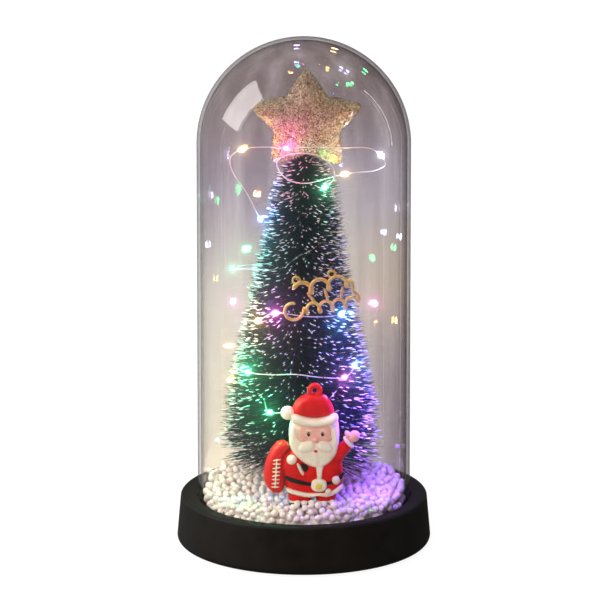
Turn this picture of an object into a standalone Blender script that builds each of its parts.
"""A battery-lit tabletop tree under a clear dome, as an assembly of separate pieces.

Metres, +Z up. The origin is on the surface that the object stands on, at the middle of the base.
The front, where the figure stands, faces -Y.
"""

import math

import bmesh
import bpy
from mathutils import Vector

MM = 0.001
GAP = 0.3 * MM  # kept between pieces that touch

# Battery cells and what encloses them, from the floor up
CELL_R = 5.25 * MM
CELL_LENGTH = 44.5 * MM
CELL_COUNT = 3
CELL_CLEARANCE = 0.5 * MM
CELL_ROOM = 0.4 * MM  # free height above the door
SPRING_LENGTH = 4.2 * MM
SPRING_WIRE_R = 0.3 * MM
CONTACT_THICKNESS = 0.5 * MM
PLATE_BOTTOM = 1.6 * MM
PLATE_THICKNESS = 2.0 * MM
DOOR_THICKNESS = 1.5 * MM
BAY_WALL = 1.2 * MM
BAY_Y = 2.0 * MM
BAY_HEADROOM = 0.8 * MM
NOTCH_R = 4.0 * MM  # finger notch in the door
NOTCH_DEPTH = 0.7 * MM

# Base shell
SHELL_BOTTOM = 0.8 * MM
SHELL_WALL = 2.2 * MM
SHELL_FLARE = 1.5 * MM  # the base is this much wider at its foot than at its rim
PLATFORM_THICKNESS = 2.0 * MM
RECESS_DEPTH = 3.3 * MM
RIM_WIDTH = 7.1 * MM
RIM_FALL = 0.5 * MM
FOOT_ROUND = 2.6 * MM
RIM_ROUND = 1.6 * MM

# Dome
DOME_R = 46.0 * MM
DOME_WALL = 1.5 * MM
DOME_FIT = 0.4 * MM
DOME_HEADROOM = 10.5 * MM

# Tree
TREE_X = -3.2 * MM
TREE_Y = 6.0 * MM
TREE_LEAN = 3.6 * MM
STEM_R = 1.3 * MM
TREE_FOOT_R = 9.0 * MM
TREE_FOOT_HEIGHT = 5.5 * MM
BRUSH_CLEARANCE = 17.8 * MM  # from the platform up to the lowest bristles
BRUSH_HEIGHT = 134.0 * MM
BRUSH_R = 31.0 * MM
BRUSH_OUTLINE = (  # height and radius, each as a share
    (0.0, 0.82), (0.03, 1.0), (0.2, 0.92), (0.54, 0.6), (0.885, 0.36), (0.97, 0.2), (1.0, 0.09),
)

# Star
STAR_R = 26.0 * MM
STAR_NOTCH_R = 14.0 * MM
STAR_TIP_ROUND = 2.0 * MM  # what rounding takes off each point
STAR_HALF_THICKNESS = 6.2 * MM
STAR_RISE = 18.0 * MM  # from the top of the bristles to the star's middle
STAR_X = 1.3 * MM
STAR_Y = 5.0 * MM

# Foam bead bed
BEAD_WALL_GAP = 0.6 * MM
BEAD_FRONT_DEPTH = 5.4 * MM
BEAD_BACK_DEPTH = 8.3 * MM

# Fairy lights
WIRE_R = 0.3 * MM
LIGHT_R = 1.2 * MM
LIGHT_LENGTH = 4.0 * MM
LEAD_HOLE_R = 1.2 * MM
LEAD_Y = 25.0 * MM

# Gilt ornament
ORNAMENT_AT = (6.0 * MM, -18.8 * MM, 96.8 * MM)  # its height is from the platform
ORNAMENT_TILT = math.radians(8)
ORNAMENT_WIRE = 0.7 * MM

# Figure, its outlines drawn in millimetres for a figure of this height
FIGURE_DRAWN_HEIGHT = 54.4
FIGURE_HEIGHT = 54.4 * MM
FIGURE_X = 4.4 * MM
FIGURE_Y = -27.0 * MM
FIGURE_HALF_THICKNESS = 4.0 * MM
FIGURE_CLEARANCE = 2.4 * MM  # from the figure's back to the bristles

# Switch, board, screws and feet
SWITCH_AT = (-14.0 * MM, 34.0 * MM)
SWITCH_SIZE = (8.6 * MM, 3.7 * MM, 3.6 * MM)
SLIDER_SIZE = (3.2 * MM, 1.9 * MM)
SLIDER_TRAVEL = 2.0 * MM
SLIDER_TIP = 0.9 * MM
BOARD_AT = (12.0 * MM, 34.0 * MM)
BOARD_SIZE = (16.0 * MM, 11.0 * MM, 1.2 * MM)
BOARD_RISE = 2.5 * MM
LEAD_R = 0.6 * MM
SCREW_ANGLES = (-90, 30, 150)
SCREW_R = 1.0 * MM
SCREW_HEAD_R = 2.5 * MM
SCREW_HEAD_HEIGHT = 1.0 * MM
SCREW_LENGTH = 9.0 * MM
POST_R = 3.2 * MM
POST_INSET = 6.3 * MM
PAD_ANGLES = (45, 135, 225, 315)
PAD_R = 4.0 * MM
PAD_INSET = 7.0 * MM

# What follows from them
CELL_SPACING = 2 * CELL_R + CELL_CLEARANCE
PLATE_TOP = PLATE_BOTTOM + PLATE_THICKNESS
DOOR_TOP = PLATE_BOTTOM + DOOR_THICKNESS
CELL_Z = DOOR_TOP + CELL_ROOM + CELL_R
BAY_ROOF = CELL_Z + CELL_R + 0.2 * MM
BAY_TOP = BAY_ROOF + BAY_WALL
BAY_X = CELL_LENGTH / 2 + (SPRING_LENGTH + 2 * CONTACT_THICKNESS + 4 * GAP) / 2
BAY_HALF_Y = CELL_SPACING * CELL_COUNT / 2 + 0.2 * MM
PLATFORM_UNDER = BAY_TOP + BAY_HEADROOM
PLATFORM = PLATFORM_UNDER + PLATFORM_THICKNESS
RECESS_TOP = PLATFORM + RECESS_DEPTH
RIM_TOP = RECESS_TOP + RIM_FALL
RECESS_R = DOME_R + DOME_FIT
BASE_TOP_R = RECESS_R + RIM_WIDTH
BASE_R = BASE_TOP_R + SHELL_FLARE
SHELL_INNER_R = BASE_TOP_R - SHELL_WALL
PLATE_R = SHELL_INNER_R - GAP
POST_RING = SHELL_INNER_R - POST_INSET
PAD_RING = SHELL_INNER_R - PAD_INSET
DOME_BOTTOM = PLATFORM + GAP
BEAD_R = DOME_R - DOME_WALL - BEAD_WALL_GAP
BRUSH_LOW = PLATFORM + BRUSH_CLEARANCE
BRUSH_TOP = BRUSH_LOW + BRUSH_HEIGHT
STAR_Z = BRUSH_TOP + STAR_RISE
DOME_TOP = STAR_Z + STAR_R - STAR_TIP_ROUND + DOME_HEADROOM + DOME_WALL
DOME_SHOULDER = DOME_TOP - DOME_R
STEM_TOP = STAR_Z - 8.0 * MM
FIGURE_UNIT = FIGURE_HEIGHT / FIGURE_DRAWN_HEIGHT
FIGURE_FOOT = PLATFORM + BEAD_FRONT_DEPTH + GAP
FIGURE_BACK = FIGURE_Y + FIGURE_HALF_THICKNESS
POCKET_Y = FIGURE_BACK + FIGURE_CLEARANCE
POCKET_TOP = FIGURE_FOOT + FIGURE_HEIGHT + 1.0 * MM

# Lights wound on the tree, in order up the wire: colour, turn in degrees (270 is the front), height as a
# share of the bristles' height, and how far the wire stands off the bristles there. An entry with no
# colour only guides the wire.
WOUND_LIGHTS = (
    (None, 95, -0.03, 2.4),
    (None, 130, 0.08, 2.4),
    ("warm", 180, 0.26, 2.2),
    ("green", 248, 0.21, 2.2),
    (None, 330, 0.24, 4.4),
    (None, 480, 0.29, 2.2),
    ("green", 579, 0.322, 2.2),
    (None, 628, 0.344, 2.4),
    ("pink", 678, 0.308, 2.2),
    ("blue", 698, 0.33, 2.2),
    (None, 800, 0.4, 2.2),
    ("warm", 940, 0.489, 2.2),
    ("pink", 963, 0.524, 2.4),
    (None, 1005, 0.51, 2.2),
    ("blue", 1047, 0.505, 2.6),
    (None, 1150, 0.57, 2.2),
    (None, 1215, 0.61, 8.0),
    (None, 1260, 0.632, 12.0),
    (None, 1300, 0.66, 4.0),
    (None, 1350, 0.69, 2.2),
    (None, 1500, 0.75, 2.2),
    ("blue", 1629, 0.803, 4.8),
)
WIRE_TURN_STEP = 30  # degrees between the wire's points where it is wound

# The loose loops under the star, in millimetres from the top of the bristles, and each one's light
LOOSE_LOOPS = (
    (None, -25.0, -5.0, -14.0),
    (None, -30.5, -5.8, -5.5),
    (None, -32.0, -6.0, 1.5),
    ("warm", -26.8, -6.2, 5.5),
    (None, -17.0, -9.0, 7.2),
    ("pink", -7.9, -11.5, 7.2),
    (None, 3.0, -11.6, 7.8),
    (None, 16.0, -9.8, 7.0),
    (None, 27.0, -8.2, 6.6),
    ("white", 32.6, -7.0, 3.2),
    (None, 34.6, -6.0, -1.4),
    (None, 30.5, -5.8, -4.0),
    (None, 24.0, -6.4, -4.6),
    ("warm", 17.1, -8.0, -5.0),
    (None, 9.0, -10.0, -6.6),
    (None, 0.0, -11.0, -8.4),
    (None, -8.0, -9.6, -6.6),
    (None, -12.0, -9.4, -0.5),
    (None, -9.3, -13.0, 4.0),
    (None, -2.0, -14.2, 5.8),
    (None, 6.0, -14.0, 4.6),
    (None, 12.0, -13.4, -0.6),
    (None, 12.4, -13.0, -6.0),
    ("green", 8.6, -13.0, -9.6),
)


# ---------------------------------------------------------------- materials
COLOURS = {
    "black_plastic": ((0.016, 0.013, 0.011), 0.55, 0.0),
    "black_rubber": ((0.02, 0.02, 0.02), 0.85, 0.0),
    "clear_glass": ((0.93, 0.95, 0.96), 0.03, 0.0),
    "white_foam": ((0.92, 0.91, 0.89), 0.7, 0.0),
    "green_bristle": ((0.01, 0.09, 0.05), 0.7, 0.0),
    "twisted_wire": ((0.25, 0.27, 0.26), 0.4, 0.9),
    "brown_plastic": ((0.11, 0.05, 0.02), 0.6, 0.0),
    "gold_glitter": ((0.83, 0.6, 0.28), 0.35, 0.8),
    "gilt_plastic": ((0.8, 0.56, 0.2), 0.3, 0.9),
    "silver_wire": ((0.8, 0.78, 0.74), 0.3, 1.0),
    "light_warm": ((1.0, 0.75, 0.3), 0.2, 0.0),
    "light_pink": ((0.95, 0.2, 0.8), 0.2, 0.0),
    "light_green": ((0.1, 0.9, 0.45), 0.2, 0.0),
    "light_blue": ((0.25, 0.55, 1.0), 0.2, 0.0),
    "light_white": ((0.9, 0.9, 1.0), 0.2, 0.0),
    "red_vinyl": ((0.72, 0.02, 0.015), 0.45, 0.0),
    "cream_vinyl": ((0.87, 0.78, 0.63), 0.5, 0.0),
    "pink_vinyl": ((0.9, 0.5, 0.4), 0.5, 0.0),
    "black_vinyl": ((0.02, 0.015, 0.015), 0.45, 0.0),
    "zinc_plate": ((0.6, 0.6, 0.58), 0.35, 1.0),
    "cell_sleeve": ((0.08, 0.1, 0.13), 0.35, 0.2),
    "board_green": ((0.02, 0.16, 0.07), 0.45, 0.0),
    "red_cable": ((0.6, 0.02, 0.02), 0.5, 0.0),
    "black_cable": ((0.02, 0.02, 0.02), 0.5, 0.0),
}


def material(name):
    """The named material, made the first time that it is asked for."""
    found = bpy.data.materials.get(name)
    if found:
        return found
    colour, roughness, metallic = COLOURS[name]
    made = bpy.data.materials.new(name)
    made.use_nodes = True
    shader = made.node_tree.nodes["Principled BSDF"]
    shader.inputs["Base Color"].default_value = (*colour, 1.0)
    shader.inputs["Roughness"].default_value = roughness
    shader.inputs["Metallic"].default_value = metallic
    made.diffuse_color = (*colour, 1.0)
    return made


# ---------------------------------------------------------------- helpers
def clear_scene():
    for old in list(bpy.data.objects):
        bpy.data.objects.remove(old, do_unlink=True)


def finish_object(name, bm, material_name, smooth=False, at=(0, 0, 0)):
    """Closes off a bmesh as a named object whose origin is at the given point."""
    bmesh.ops.recalc_face_normals(bm, faces=bm.faces)
    if bm.calc_volume(signed=True) < 0:
        bmesh.ops.reverse_faces(bm, faces=bm.faces)
    bmesh.ops.translate(bm, vec=-Vector(at), verts=bm.verts)
    mesh = bpy.data.meshes.new(name)
    bm.to_mesh(mesh)
    bm.free()
    obj = bpy.data.objects.new(name, mesh)
    obj.location = at
    bpy.context.collection.objects.link(obj)
    mesh.materials.append(material(material_name))
    if smooth:
        mesh.shade_smooth()
        mesh.set_sharp_from_angle(angle=math.radians(35))
    return obj


def turned(name, profile, segments, material_name, centre=(0.0, 0.0), bend=None, at=(0, 0, 0)):
    """Turns a closed profile of (radius, height) pairs about the upright line through centre."""
    bm = bmesh.new()
    rings = []
    for radius, height in profile:
        offset = bend(height) if bend else Vector((centre[0], centre[1], 0))
        if radius <= 0:
            rings.append([bm.verts.new((offset.x, offset.y, height))])
            continue
        ring = []
        for step in range(segments):
            angle = 2 * math.pi * step / segments
            point = (offset.x + radius * math.cos(angle), offset.y + radius * math.sin(angle), height)
            ring.append(bm.verts.new(point))
        rings.append(ring)
    for lower, upper in zip(rings, rings[1:] + rings[:1], strict=True):
        join_rings(bm, lower, upper)
    return finish_object(name, bm, material_name, smooth=True, at=at)


def join_rings(bm, first, second):
    """Faces between two rings, either of which may be a single point."""
    count = max(len(first), len(second))
    if count == 1:
        return
    for step in range(count):
        after = (step + 1) % count
        corners = [first[step % len(first)], first[after % len(first)]]
        corners += [second[after % len(second)], second[step % len(second)]]
        bm.faces.new(list(dict.fromkeys(corners)))


def disc(name, radius, low, high, material_name, centre=(0.0, 0.0), segments=32):
    profile = ((0, low), (radius, low), (radius, high), (0, high))
    return turned(name, profile, segments, material_name, centre)


def box(name, low, high, material_name, bevel=0.0, at=(0, 0, 0)):
    """A block between two corners, with its edges rounded if a bevel is given."""
    bm = bmesh.new()
    bmesh.ops.create_cube(bm, size=1.0)
    middle = (Vector(low) + Vector(high)) / 2
    size = Vector(high) - Vector(low)
    for vert in bm.verts:
        vert.co = middle + vert.co * size
    obj = finish_object(name, bm, material_name, at=at)
    if bevel:
        round_edges(obj, bevel)
    return obj


def prism(name, outline, back, front, material_name, bevel=0.0):
    """An upright outline of (x, z) pairs in the figure's own millimetres, given a thickness along Y."""
    bm = bmesh.new()
    placed = [figure_point(x, z) for x, z in outline]
    loops = [[bm.verts.new((x, y, z)) for x, z in placed] for y in (back, front)]
    bm.faces.new(loops[0])
    bm.faces.new(loops[1])
    join_rings(bm, loops[0], loops[1])
    obj = finish_object(name, bm, material_name, smooth=True)
    if bevel:
        round_edges(obj, bevel)
    return obj


def round_edges(obj, width):
    bevel = obj.modifiers.new("rounded_edges", "BEVEL")
    bevel.width = width
    bevel.segments = 2
    bevel.limit_method = "ANGLE"
    bevel.angle_limit = math.radians(50)


def combine(obj, other, operation):
    """Adds or cuts one object with another, which then stays as a hidden guide."""
    other.hide_render = True
    other.display_type = "WIRE"
    modifier = obj.modifiers.new(f"{operation.lower()}_{other.name}", "BOOLEAN")
    modifier.operation = operation
    modifier.solver = "EXACT"
    modifier.object = other


def arc(centre, radius, start, end, steps):
    """Points on an arc, from one angle to the other, in degrees."""
    points = []
    for step in range(steps + 1):
        angle = math.radians(start + (end - start) * step / steps)
        points.append((centre[0] + radius * math.cos(angle), centre[1] + radius * math.sin(angle)))
    return points


def tube(name, points, radius, sides, material_name):
    """A round or square bar swept along points, with flat ends."""
    bm = bmesh.new()
    rings = []
    normal = None
    for index, point in enumerate(points):
        before = points[max(index - 1, 0)]
        after = points[min(index + 1, len(points) - 1)]
        along = (after - before).normalized()
        if normal is None:
            normal = along.orthogonal().normalized()
        normal = (normal - along * normal.dot(along)).normalized()
        across = along.cross(normal)
        ring = []
        for step in range(sides):
            angle = 2 * math.pi * (step + 0.5) / sides
            outward = math.cos(angle) * normal + math.sin(angle) * across
            ring.append(bm.verts.new(point + radius * outward))
        rings.append(ring)
    for first, second in zip(rings, rings[1:], strict=False):
        join_rings(bm, first, second)
    bm.faces.new(rings[0])
    bm.faces.new(rings[-1])
    return finish_object(name, bm, material_name, smooth=sides > 4)


def cable(name, points, radius, material_name):
    """A thin cable as a curve with a round section and closed ends."""
    curve = bpy.data.curves.new(name, "CURVE")
    curve.dimensions = "3D"
    curve.bevel_depth = radius
    curve.bevel_resolution = 2
    curve.use_fill_caps = True
    spline = curve.splines.new("POLY")
    spline.points.add(len(points) - 1)
    for target, point in zip(spline.points, points, strict=True):
        target.co = (*point, 1.0)
    obj = bpy.data.objects.new(name, curve)
    bpy.context.collection.objects.link(obj)
    curve.materials.append(material(material_name))
    return obj


def on_circle(radius, degrees):
    angle = math.radians(degrees)
    return radius * math.cos(angle), radius * math.sin(angle)


# ---------------------------------------------------------------- where things are
def tree_axis(height):
    """The middle of the tree at a height: upright at the foot, leaning a little to +X at the top."""
    share = max(0.0, height - PLATFORM) / (BRUSH_TOP - PLATFORM)
    return Vector((TREE_X + TREE_LEAN * share**3, TREE_Y, 0))


def stem_heights():
    """The heights between which the stem runs straight."""
    low, steps = PLATFORM + GAP, 10
    return [low + (STEM_TOP - low) * step / steps for step in range(steps + 1)]


def brush_radius(height):
    """The radius of the bristles' solid at a height, between the points of its outline."""
    share = (height - BRUSH_LOW) / BRUSH_HEIGHT
    if share <= BRUSH_OUTLINE[1][0]:
        return BRUSH_R
    for (low, wide), (high, narrow) in zip(BRUSH_OUTLINE, BRUSH_OUTLINE[1:], strict=False):
        if low <= share <= high:
            return BRUSH_R * (wide + (narrow - wide) * (share - low) / (high - low))
    return BRUSH_R * BRUSH_OUTLINE[-1][1]


def figure_point(x, z):
    """A point of the figure, given in its drawing's millimetres from its middle and its soles."""
    return FIGURE_X + x * FIGURE_UNIT, FIGURE_FOOT + z * FIGURE_UNIT


def wound_point(turn, share, standoff):
    """A point of the wire where it is wound on the tree, kept behind the figure."""
    height = BRUSH_LOW + share * BRUSH_HEIGHT
    radius = brush_radius(height) + standoff * MM
    angle = math.radians(turn)
    point = tree_axis(height) + Vector((radius * math.cos(angle), radius * math.sin(angle), height))
    if height < POCKET_TOP:
        point.y = max(point.y, POCKET_Y - 0.8 * MM)
    return point


def loose_point(x, y, z):
    """A point of the loose loops, from the top of the bristles."""
    return Vector((tree_axis(BRUSH_TOP).x + x * MM, TREE_Y + y * MM, BRUSH_TOP + z * MM))


def wire_route():
    """The wire from the circuit board, up through the platform, round the tree and into its loose loops."""
    hole_x = TREE_X
    points = [
        Vector((BOARD_AT[0] - 5.5 * MM, BOARD_AT[1] - 3.0 * MM, PLATE_TOP + BOARD_RISE + 3.4 * MM)),
        Vector((hole_x + 2.5 * MM, LEAD_Y + 2.2 * MM, PLATFORM_UNDER - 4.0 * MM)),
        Vector((hole_x, LEAD_Y, PLATFORM - 0.5 * PLATFORM_THICKNESS)),
        Vector((hole_x, LEAD_Y, PLATFORM + BEAD_BACK_DEPTH + 2.5 * MM)),
    ]
    for start, end in zip(WOUND_LIGHTS, WOUND_LIGHTS[1:], strict=False):
        steps = max(1, round((end[1] - start[1]) / WIRE_TURN_STEP))
        for step in range(steps):
            share = step / steps
            values = [a + (b - a) * share for a, b in zip(start[1:], end[1:], strict=True)]
            points.append(wound_point(*values))
    points.append(wound_point(*WOUND_LIGHTS[-1][1:]))
    points += [loose_point(*entry[1:]) for entry in LOOSE_LOOPS]
    return points


def light_places():
    """Each light's colour and its point on the wire, from the board upwards."""
    wound = [(entry[0], wound_point(*entry[1:])) for entry in WOUND_LIGHTS if entry[0]]
    loose = [(entry[0], loose_point(*entry[1:])) for entry in LOOSE_LOOPS if entry[0]]
    return wound + loose


# ---------------------------------------------------------------- base
def make_base_shell():
    profile = [(SHELL_INNER_R, SHELL_BOTTOM)]
    profile += arc((BASE_R - FOOT_ROUND, SHELL_BOTTOM + FOOT_ROUND), FOOT_ROUND, -90, 0, 4)
    profile += arc((BASE_TOP_R - RIM_ROUND, RIM_TOP - RIM_ROUND), RIM_ROUND, 0, 90, 3)
    profile += [(RECESS_R, RECESS_TOP), (RECESS_R, PLATFORM), (0, PLATFORM), (0, PLATFORM_UNDER)]
    profile += [(RECESS_R + SHELL_WALL, PLATFORM_UNDER), (RECESS_R + SHELL_WALL, PLATFORM + 0.8 * MM)]
    profile += [(SHELL_INNER_R, PLATFORM + 0.8 * MM)]
    shell = turned("base_shell", profile, 52, "black_plastic")
    for number, degrees in enumerate(SCREW_ANGLES, 1):
        centre = on_circle(POST_RING, degrees)
        low, high = PLATE_TOP + GAP, PLATFORM_UNDER + 0.6 * MM
        bore_top = PLATE_BOTTOM + SCREW_LENGTH + 1.5 * MM
        profile = ((SCREW_R + GAP, low), (POST_R, low), (POST_R, high), (0, high), (0, bore_top))
        profile += ((SCREW_R + GAP, bore_top),)
        combine(shell, turned(f"guide_post_{number}", profile, 16, "black_plastic", centre), "UNION")
    low, high = PLATFORM_UNDER - 1.0 * MM, PLATFORM + 1.0 * MM
    hole = disc("guide_lead_hole", LEAD_HOLE_R, low, high, "black_plastic", (TREE_X, LEAD_Y), 12)
    combine(shell, hole, "DIFFERENCE")


def make_bottom_plate():
    plate = disc("bottom_plate", PLATE_R, PLATE_BOTTOM, PLATE_TOP, "black_plastic", segments=52)
    half_x, half_y = BAY_X + BAY_WALL, BAY_HALF_Y + BAY_WALL
    low = (-half_x, BAY_Y - half_y, PLATE_BOTTOM + 0.4 * MM)
    combine(plate, box("guide_bay", low, (half_x, BAY_Y + half_y, BAY_TOP), "black_plastic"), "UNION")
    low = (-BAY_X, BAY_Y - BAY_HALF_Y, PLATE_BOTTOM - 1.0 * MM)
    room = box("guide_bay_room", low, (BAY_X, BAY_Y + BAY_HALF_Y, BAY_ROOF), "black_plastic")
    combine(plate, room, "DIFFERENCE")
    x, y = BOARD_AT
    reach = BOARD_SIZE[0] / 2 - 1.5 * MM
    for side in (-1, 1):
        low = (x + side * reach - 0.8 * MM, y - BOARD_SIZE[1] / 2, PLATE_TOP - 0.5 * MM)
        high = (x + side * reach + 0.8 * MM, y + BOARD_SIZE[1] / 2, PLATE_TOP + BOARD_RISE)
        name = "guide_board_rib_left" if side < 0 else "guide_board_rib_right"
        combine(plate, box(name, low, high, "black_plastic"), "UNION")
    x, y = SWITCH_AT
    half_x = (SLIDER_SIZE[0] + SLIDER_TRAVEL) / 2 + GAP
    half_y = SLIDER_SIZE[1] / 2 + GAP
    low = (x - half_x, y - half_y, PLATE_BOTTOM - 1.0 * MM)
    high = (x + half_x, y + half_y, PLATE_TOP + 1.0 * MM)
    combine(plate, box("guide_slider_slot", low, high, "black_plastic"), "DIFFERENCE")
    head = SCREW_HEAD_R + GAP
    shank = SCREW_R + GAP
    low, high = PLATE_BOTTOM - 1.0 * MM, PLATE_TOP + 1.0 * MM
    step = PLATE_BOTTOM + SCREW_HEAD_HEIGHT + 2 * GAP
    profile = ((0, low), (head, low), (head, step), (shank, step), (shank, high), (0, high))
    for number, degrees in enumerate(SCREW_ANGLES, 1):
        centre = on_circle(POST_RING, degrees)
        hole = turned(f"guide_screw_hole_{number}", profile, 16, "black_plastic", centre)
        combine(plate, hole, "DIFFERENCE")


def make_battery_door():
    """The door, with a finger notch at its free end. Its origin is on the edge that it swings about."""
    edge = BAY_X - GAP
    half_y = BAY_HALF_Y - GAP
    low, high = (-edge, BAY_Y - half_y, PLATE_BOTTOM), (edge, BAY_Y + half_y, DOOR_TOP)
    door = box("battery_door", low, high, "black_plastic", at=(BAY_X, BAY_Y, PLATE_BOTTOM))
    low, high = PLATE_BOTTOM - 1.0 * MM, PLATE_BOTTOM + NOTCH_DEPTH
    notch = disc("guide_door_notch", NOTCH_R, low, high, "black_plastic", (-edge, BAY_Y), 24)
    combine(door, notch, "DIFFERENCE")


def cell_row():
    """The Y of each cell, and which way round it lies: 1 with its button at +X, -1 at -X."""
    first = BAY_Y - CELL_SPACING * (CELL_COUNT - 1) / 2
    return [(first + CELL_SPACING * number, 1 if number % 2 == 0 else -1) for number in range(CELL_COUNT)]


def make_cells():
    """Three cells side by side, alternate ways round, each between a spring and a contact plate."""
    button_r, button = 1.9 * MM, 0.9 * MM
    shoulder, round_off = CELL_R - 0.6 * MM, 0.5 * MM
    for number, (y, way) in enumerate(cell_row(), 1):
        far = BAY_X - CONTACT_THICKNESS - 2 * GAP
        start, body_end = far - CELL_LENGTH, far - button
        profile = [(0, start), (shoulder, start), (CELL_R, start + round_off)]
        profile += [(CELL_R, body_end - round_off), (shoulder, body_end), (button_r, body_end)]
        profile += [(button_r, far), (0, far)]
        cell = turned(f"battery_{number}", profile, 20, "cell_sleeve")
        lay_along_x(cell, way, y)
        make_spring(number, y, way, start - GAP)


def lay_along_x(obj, way, y):
    """Turns a piece drawn up the Z axis to lie along X at a cell's height."""
    for vert in obj.data.vertices:
        x, across, along = vert.co
        vert.co = (way * along, across * way + y, CELL_Z - x)


def make_spring(number, y, way, near):
    """A cone-shaped coil that presses on the cell's flat end."""
    turns, steps = 2.5, 10
    wide, narrow = 3.4 * MM, 1.8 * MM
    far = -BAY_X + CONTACT_THICKNESS + 2 * GAP
    length = near - far - 2 * SPRING_WIRE_R
    points = []
    for step in range(int(turns * steps) + 1):
        share = step / (turns * steps)
        radius = wide + (narrow - wide) * share
        angle = 2 * math.pi * turns * share
        along = far + SPRING_WIRE_R + length * share
        around = radius * Vector((0, math.cos(angle), math.sin(angle)))
        points.append(Vector((way * along, y, CELL_Z)) + around)
    tube(f"contact_spring_{number}", points, SPRING_WIRE_R, 6, "zinc_plate")


def make_contacts():
    """Plates at the bay's ends: two single ones for the leads and two that link neighbouring cells."""
    rows = [y for y, way in cell_row()]
    reach, height = 4.2 * MM, 4.0 * MM
    spans = {
        "contact_plate_positive": (1, rows[0], rows[0]),
        "contact_plate_link_right": (1, rows[1], rows[-1]),
        "contact_plate_link_left": (-1, rows[0], rows[1]),
        "contact_plate_negative": (-1, rows[-1], rows[-1]),
    }
    for name, (side, first, last) in spans.items():
        ends = sorted((side * (BAY_X - GAP), side * (BAY_X - GAP - CONTACT_THICKNESS)))
        low = (ends[0], first - reach, CELL_Z - height)
        high = (ends[1], last + reach, CELL_Z + height)
        box(name, low, high, "zinc_plate")


def make_switch():
    x, y = SWITCH_AT
    length, width, height = SWITCH_SIZE
    under = PLATE_TOP + GAP
    low, high = (x - length / 2, y - width / 2, under), (x + length / 2, y + width / 2, under + height)
    box("switch_body", low, high, "zinc_plate", 0.3 * MM)
    left = x - (SLIDER_SIZE[0] + SLIDER_TRAVEL) / 2
    low = (left, y - SLIDER_SIZE[1] / 2, SLIDER_TIP)
    high = (left + SLIDER_SIZE[0], y + SLIDER_SIZE[1] / 2, PLATE_TOP)
    box("switch_slider", low, high, "black_plastic", 0.2 * MM, at=(left + SLIDER_SIZE[0] / 2, y, PLATE_TOP))


def make_circuit_board():
    x, y = BOARD_AT
    length, width, height = BOARD_SIZE
    under = PLATE_TOP + BOARD_RISE + GAP
    low = (x - length / 2, y - width / 2, under)
    board = box("circuit_board", low, (x + length / 2, y + width / 2, under + height), "board_green")
    top = under + height
    blob = ((0, top - 0.5 * MM), (3 * MM, top - 0.5 * MM), (2.6 * MM, top + 0.8 * MM), (0, top + 1.3 * MM))
    combine(board, turned("guide_chip_blob", blob, 16, "board_green", (x + 2 * MM, y)), "UNION")


def make_leads():
    """The red and black leads, from the bay's ends to the board and the switch.

    Each is given in millimetres: two points from the bay's outer corner, then two from its end.
    """
    corner = (BAY_X + BAY_WALL + LEAD_R + GAP, BAY_Y + BAY_HALF_Y - 6 * MM)
    board_end = (BOARD_AT[0] + BOARD_SIZE[0] / 2, BOARD_AT[1])
    switch_end = (SWITCH_AT[0] - SWITCH_SIZE[0] / 2, SWITCH_AT[1])
    red = ((0, 0, 5.4), (1.6, 6, 5.6), (1.0, 13, 6.0)), ((2.6, -1.5, 6.0), (1.0, 0, 4.8))
    black = ((0, 0, 5.4), (1.6, 6, 5.6), (0.6, 13, 5.4)), ((4.5, -1.0, 3.8), (1.0, 0, 2.0))
    leads = (
        ("lead_red", 1, red, board_end, "red_cable"),
        ("lead_black", -1, black, switch_end, "black_cable"),
    )
    for name, side, (first, last), end, finish in leads:
        points = [lead_point((side * corner[0], corner[1]), side, offset) for offset in first]
        points += [lead_point(end, side, offset) for offset in last]
        cable(name, smooth_route(points, 4), LEAD_R, finish)


def lead_point(start, side, offset):
    """A point at an offset in millimetres from a start, outwards to one side and up from the plate."""
    x, y, z = offset
    return Vector((start[0] + side * x * MM, start[1] + y * MM, PLATE_TOP + z * MM))


def smooth_route(points, steps):
    """A smooth curve through the given points, read at even steps between each pair."""
    route = []
    padded = [points[0] * 2 - points[1], *points, points[-1] * 2 - points[-2]]
    for a, b, c, d in zip(padded, padded[1:], padded[2:], padded[3:], strict=False):
        for step in range(steps):
            t = step / steps
            route.append(0.5 * (2 * b + (c - a) * t + (2 * a - 5 * b + 4 * c - d) * t**2
                                + (3 * b - a - 3 * c + d) * t**3))
    return [*route, points[-1]]


def make_screws():
    for number, degrees in enumerate(SCREW_ANGLES, 1):
        low = PLATE_BOTTOM + GAP
        neck = low + SCREW_HEAD_HEIGHT
        profile = [(0, low + 0.2 * MM), (SCREW_HEAD_R - 0.5 * MM, low), (SCREW_HEAD_R, low + 0.4 * MM)]
        profile += [(SCREW_HEAD_R, neck), (SCREW_R, neck), (SCREW_R, low + SCREW_LENGTH - 1 * MM)]
        profile += [(0, low + SCREW_LENGTH)]
        turned(f"screw_{number}", profile, 14, "zinc_plate", on_circle(POST_RING, degrees))


def make_feet():
    for number, degrees in enumerate(PAD_ANGLES, 1):
        top = PLATE_BOTTOM - GAP
        profile = ((0, 0), (PAD_R - 0.3 * MM, 0), (PAD_R, 0.3 * MM), (PAD_R, top), (0, top))
        turned(f"rubber_foot_{number}", profile, 20, "black_rubber", on_circle(PAD_RING, degrees))


# ---------------------------------------------------------------- dome and beads
def make_dome():
    inner = DOME_R - DOME_WALL
    outside = arc((0, DOME_SHOULDER), DOME_R, 0, 90, 8)
    inside = arc((0, DOME_SHOULDER), inner, 90, 0, 8)
    profile = [(DOME_R, DOME_BOTTOM), *outside[:-1], (0, DOME_TOP), (0, DOME_TOP - DOME_WALL), *inside[1:]]
    profile += [(inner, DOME_BOTTOM)]
    turned("glass_dome", profile, 48, "clear_glass", at=(0, 0, DOME_BOTTOM))


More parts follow.
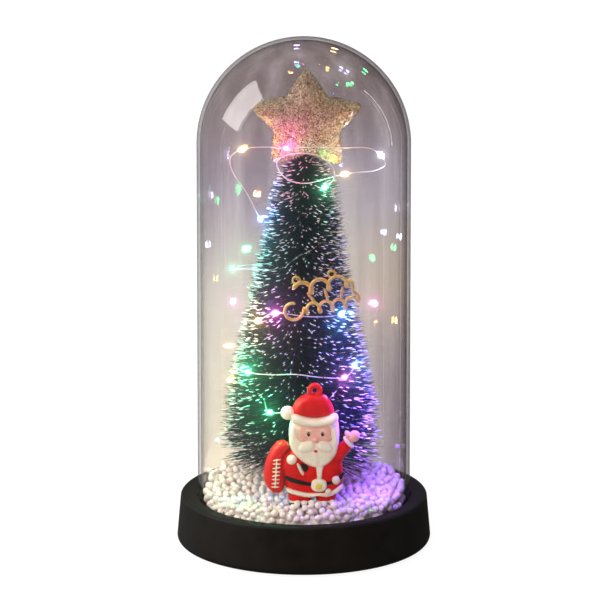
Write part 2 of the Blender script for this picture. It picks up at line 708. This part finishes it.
def make_bead_bed():
    """The bed of loose beads, level in front and rising behind the figure."""
    bm = bmesh.new()
    segments, rings = 40, 5
    low = PLATFORM + GAP
    middle = bm.verts.new((0, 0, bead_height(0)))
    under = bm.verts.new((0, 0, low))
    previous = [middle]
    for ring_number in range(1, rings + 1):
        radius = BEAD_R * ring_number / rings
        ring = []
        for step in range(segments):
            x, y = on_circle(radius, 360 * step / segments)
            ring.append(bm.verts.new((x, y, bead_height(y))))
        join_rings(bm, previous, ring)
        previous = ring
    foot = [bm.verts.new((vert.co.x, vert.co.y, low)) for vert in previous]
    join_rings(bm, previous, foot)
    join_rings(bm, foot, [under])
    bed = finish_object("bead_bed", bm, "white_foam", smooth=True)
    span = (PLATFORM - 1 * MM, PLATFORM + BEAD_BACK_DEPTH + 4 * MM)
    hole = disc("guide_foot_hole", TREE_FOOT_R + GAP, *span, "white_foam", (TREE_X, TREE_Y), 28)
    combine(bed, hole, "DIFFERENCE")
    hole = disc("guide_lead_room", LEAD_HOLE_R, *span, "white_foam", (TREE_X, LEAD_Y), 12)
    combine(bed, hole, "DIFFERENCE")


def bead_height(y):
    share = min(1.0, max(0.0, (y - POCKET_Y) / (BEAD_R - POCKET_Y)))
    eased = share * share * (3 - 2 * share)
    return PLATFORM + BEAD_FRONT_DEPTH + (BEAD_BACK_DEPTH - BEAD_FRONT_DEPTH) * eased


# ---------------------------------------------------------------- tree, star and lights
def make_tree():
    low, high = PLATFORM + GAP, PLATFORM + TREE_FOOT_HEIGHT
    profile = ((STEM_R + GAP, low), (TREE_FOOT_R, low), (TREE_FOOT_R, high - 1.2 * MM))
    profile += ((TREE_FOOT_R - 1.2 * MM, high), (STEM_R + GAP, high))
    turned("tree_foot", profile, 28, "brown_plastic", (TREE_X, TREE_Y))
    heights = stem_heights()
    profile = [(0, heights[0]), *[(STEM_R, height) for height in heights], (0, heights[-1])]
    turned("tree_stem", profile, 12, "twisted_wire", bend=tree_axis)
    outline = [(BRUSH_R * wide, BRUSH_LOW + BRUSH_HEIGHT * share) for share, wide in BRUSH_OUTLINE]
    bore = [(STEM_R + GAP, height) for height in reversed(heights) if BRUSH_LOW < height < BRUSH_TOP]
    bore = [(STEM_R + GAP, BRUSH_TOP), *bore, (STEM_R + GAP, BRUSH_LOW)]
    brush = turned("tree_brush", [*outline, *bore], 32, "green_bristle", bend=tree_axis)
    low, high = (-2 * DOME_R, -2 * DOME_R, BRUSH_LOW - 5 * MM), (2 * DOME_R, POCKET_Y, POCKET_TOP)
    combine(brush, box("guide_figure_room", low, high, "green_bristle"), "DIFFERENCE")


def star_outline(degrees):
    """The star's radius at an angle from its top point, with its points slightly rounded."""
    half = 36.0
    off = abs((degrees + half) % (2 * half) - half)
    off = math.hypot(off, 2.2)
    if off > half:
        off = half
    blend = STAR_NOTCH_R * math.sin(math.radians(half - off)) + STAR_R * math.sin(math.radians(off))
    return STAR_R * STAR_NOTCH_R * math.sin(math.radians(half)) / blend


def make_star():
    """A padded five-pointed star with a socket for the top of the stem."""
    bm = bmesh.new()
    step_degrees = 6
    shares = (0.35, 0.65, 0.86, 1.0)
    edge = star_ring(bm, 1.0, 0, step_degrees)
    for side in (-1, 1):
        previous = [bm.verts.new((STAR_X, STAR_Y + side * STAR_HALF_THICKNESS, STAR_Z))]
        for share in shares[:-1]:
            ring = star_ring(bm, share, side, step_degrees)
            join_rings(bm, previous, ring)
            previous = ring
        join_rings(bm, previous, edge)
    star = finish_object("star_topper", bm, "gold_glitter", smooth=True)
    heights = [*stem_heights()[-3:], STEM_TOP + GAP]
    profile = [(0, heights[0]), *[(STEM_R + GAP, height) for height in heights], (0, heights[-1])]
    combine(star, turned("guide_star_socket", profile, 12, "gold_glitter", bend=tree_axis), "DIFFERENCE")


def star_ring(bm, share, side, step_degrees):
    """One ring of the star, at a share of its outline, bulging to one side."""
    bulge = side * STAR_HALF_THICKNESS * (1 - share**1.6) ** 0.7
    ring = []
    for step in range(360 // step_degrees):
        degrees = step * step_degrees
        radius = share * star_outline(degrees)
        angle = math.radians(90 - degrees)
        point = (STAR_X + radius * math.cos(angle), STAR_Y + bulge, STAR_Z + radius * math.sin(angle))
        ring.append(bm.verts.new(point))
    return ring


def make_lights():
    route = wire_route()
    cable("light_wire", route, WIRE_R, "silver_wire")
    for number, (colour, place) in enumerate(light_places(), 1):
        index = min(range(len(route)), key=lambda i: (route[i] - place).length)
        along = (route[min(index + 1, len(route) - 1)] - route[index - 1]).normalized()
        outward = place - tree_axis(place.z) - Vector((0, 0, place.z))
        outward = (outward - along * outward.dot(along)).normalized()
        bm = bmesh.new()
        bmesh.ops.create_icosphere(bm, subdivisions=1, radius=1.0)
        turn = along.to_track_quat("Z", "Y").to_matrix()
        middle = place + outward * (LIGHT_R + WIRE_R + 2 * GAP)
        for vert in bm.verts:
            shaped = Vector((vert.co.x * LIGHT_R, vert.co.y * LIGHT_R, vert.co.z * LIGHT_LENGTH / 2))
            vert.co = turn @ shaped + middle
        finish_object(f"led_{number:02d}_{colour}", bm, f"light_{colour}", smooth=True)


# ---------------------------------------------------------------- ornament
def make_ornament():
    """A letterless gilt scroll in two waved rows, ending in a curl, with two eyes to hang it by."""
    step = 2 * math.pi / 10
    path = [(-10 + 23 * s / 30, 4.6 + 0.03 * s + 2.5 * math.sin(step * s)) for s in range(31)]
    path += [(15.6, 6.6), (17.5, 4.0), (18.0, 0.0), (17.6, -3.0)]
    path += [(16.6 - 22 * s / 40, -4.6 + 2.2 * math.sin(step * s)) for s in range(41)]
    path += [(-11.3 + r * math.cos(a), -4.6 + r * math.sin(a)) for a, r in curl_points()]
    scroll = tube("gilt_scroll", [ornament_point(u, v) for u, v in path], ORNAMENT_WIRE, 4, "gilt_plastic")
    strokes = {"left": ((-4.25, 2.5), (-1.3, -2.6)), "middle": ((3.4, 2.8), (4.2, -2.6)),
               "right": ((11.1, 3.0), (9.7, -2.6))}
    for side, ends in strokes.items():
        points = [ornament_point(u, v) for u, v in ends]
        bar = tube(f"guide_stroke_{side}", points, ORNAMENT_WIRE * 0.8, 4, "gilt_plastic")
        combine(scroll, bar, "UNION")
    for name, (u, v) in {"guide_eye_left": (-8.1, 8.6), "guide_eye_right": (7.25, 9.2)}.items():
        combine(scroll, eye(name, u, v), "UNION")


def curl_points():
    """The closing curl, as angle and radius, winding inwards."""
    return [(math.radians(20 - 15 * step), 4.6 - 0.07 * step) for step in range(1, 22)]


def eye(name, u, v):
    bm = bmesh.new()
    rings = []
    for step in range(14):
        angle = 2 * math.pi * step / 14
        ring = []
        for side in range(4):
            around = math.pi / 4 + math.pi / 2 * side
            radius = 1.5 + 0.65 * math.cos(around)
            point = ornament_point(u + radius * math.cos(angle), v + radius * math.sin(angle))
            point.y += 0.6 * MM * math.sin(around)
            ring.append(bm.verts.new(point))
        rings.append(ring)
    for first, second in zip(rings, rings[1:] + rings[:1], strict=True):
        join_rings(bm, first, second)
    return finish_object(name, bm, "gilt_plastic")


def ornament_point(u, v):
    """A point in the ornament's own plane, in millimetres from its middle, tilted up to the right."""
    x = (u * math.cos(ORNAMENT_TILT) - v * math.sin(ORNAMENT_TILT)) * MM
    z = (u * math.sin(ORNAMENT_TILT) + v * math.cos(ORNAMENT_TILT)) * MM
    return Vector((ORNAMENT_AT[0] + x, ORNAMENT_AT[1], PLATFORM + ORNAMENT_AT[2] + z))


# ---------------------------------------------------------------- figure
def make_figure():
    """A moulded figure in a hat and coat: a core of stacked pieces with thin ones on its front."""
    back, front = FIGURE_BACK, FIGURE_Y - FIGURE_HALF_THICKNESS
    legs = [(-10.4, 2.6), (-9.0, 0), (-1.0, 0), (-0.4, 2.0), (0.4, 2.0), (1.0, 0), (8.2, 0), (9.3, 2.6)]
    prism("figure_legs", [*legs, (9.6, 6.1), (-11.4, 6.1)], back, front, "red_vinyl", 1.0 * MM)
    coat = [(-12.6, 6.4), (11.2, 6.4), (12.6, 12.0), (11.6, 18.2), (13.4, 20.8), (17.4, 28.2), (13.8, 30.4)]
    coat += [(9.6, 25.2), (8.4, 27.1), (-8.0, 27.1), (-13.2, 22.4), (-14.2, 14.0)]
    prism("figure_coat", coat, back, front, "red_vinyl", 1.0 * MM)
    head = [(-9.8, 27.4), (9.8, 27.4), (10.7, 31.0), (10.6, 35.0), (9.8, 38.1)]
    head += [(-9.8, 38.1), (-10.6, 35.0), (-10.7, 31.0)]
    prism("figure_head", head, back, front, "cream_vinyl", 1.0 * MM)
    make_figure_hat(back, front)
    sack = [(-21.6, 12.0), (-19.8, 7.6), (-14.8, 6.4), (-13.2, 6.6), (-14.6, 14.0), (-13.6, 22.7)]
    sack += [(-10.6, 26.5), (-11.4, 28.8), (-14.0, 29.4), (-18.4, 25.0), (-21.2, 18.6)]
    prism("figure_sack", sack, back, front, "red_vinyl", 1.0 * MM)
    ball("figure_mitten", (17.4, 31.6), 2.5, "pink_vinyl")
    make_figure_front(front - GAP)


def make_figure_hat(back, front):
    crown = [(x * 9.4, 38.4 + z * 11.4) for x, z in arc((0, 0), 1.0, 0, 180, 12)]
    hat = prism("figure_hat", crown, back, front, "red_vinyl", 0.8 * MM)
    inner = 0.5 * FIGURE_HALF_THICKNESS
    outline = arc((0.3, 51.3), 3.1, 0, 337.5, 15)
    loop = prism("guide_hat_loop", outline, back - inner, front + inner, "red_vinyl")
    outline = arc((0.3, 51.4), 1.3, 0, 330, 11)
    hole = prism("guide_loop_hole", outline, back + 1.0 * MM, front - 1.0 * MM, "red_vinyl")
    combine(hat, loop, "UNION")
    combine(hat, hole, "DIFFERENCE")
    ball("figure_pompom", (-12.4, 42.6), 3.0, "cream_vinyl")


def make_figure_front(plane):
    """The thin pieces on the figure's front, each from the plane just clear of its core."""
    brim = [(-10.6, 40.6), (-10.4, 37.6), (-5.5, 36.7), (0, 36.4), (5.5, 36.7), (10.2, 37.6)]
    brim += [(10.4, 40.6), (5.0, 39.7), (0, 39.4), (-5.0, 39.7)]
    prism("figure_hat_brim", brim, plane, plane - 2.6 * MM, "cream_vinyl", 0.8 * MM)
    face = [(-6.3, 30.6), (-2.0, 30.2), (2.0, 30.2), (6.3, 30.6)]
    face += [(7.0, 33.4), (6.6, 36.1), (-6.6, 36.1), (-7.0, 33.4)]
    prism("figure_face", face, plane, plane - 1.4 * MM, "pink_vinyl", 0.5 * MM)
    beard = [(-9.9, 36.0), (-10.4, 30.0), (-8.6, 24.6), (-4.4, 20.4), (0, 18.9), (4.4, 20.4), (8.6, 24.6)]
    beard += [(10.4, 30.0), (9.9, 36.0), (7.2, 36.0), (7.5, 33.4), (6.8, 30.1), (2.0, 29.8), (-2.0, 29.8)]
    beard += [(-6.8, 30.1), (-7.5, 33.4), (-7.2, 36.0)]
    prism("figure_beard", beard, plane, plane - 2.0 * MM, "cream_vinyl", 0.5 * MM)
    belt = [(-12.8, 14.6), (0, 11.4), (11.6, 12.6), (11.6, 14.8), (0, 14.2), (-12.8, 16.6)]
    prism("figure_belt", belt, plane, plane - 1.0 * MM, "black_vinyl", 0.3 * MM)
    buckle = [(-1.2, 9.9), (5.2, 9.9), (5.2, 15.3), (-1.2, 15.3)]
    front = plane - 1.0 * MM - GAP
    prism("figure_buckle", buckle, front, front - 1.2 * MM, "cream_vinyl", 0.4 * MM)
    hem = [(-12.0, 6.8), (-1.0, 6.6), (11.0, 6.8), (11.8, 9.6), (1.0, 9.2), (-12.6, 10.2)]
    prism("figure_coat_hem", hem, plane, plane - 1.0 * MM, "cream_vinyl", 0.3 * MM)


def ball(name, place, radius, material_name):
    """A small ball at a place on the figure, in its drawing's millimetres."""
    x, z = figure_point(*place)
    radius = radius * FIGURE_UNIT
    profile = [(r, z + h) for r, h in arc((0, 0), radius, -90, 90, 7)]
    profile[0], profile[-1] = (0, z - radius), (0, z + radius)
    turned(name, profile, 14, material_name, (x, FIGURE_Y))


def build():
    clear_scene()
    make_base_shell()
    make_bottom_plate()
    make_battery_door()
    make_cells()
    make_contacts()
    make_switch()
    make_circuit_board()
    make_leads()
    make_screws()
    make_feet()
    make_dome()
    make_bead_bed()
    make_tree()
    make_star()
    make_lights()
    make_ornament()
    make_figure()


build()
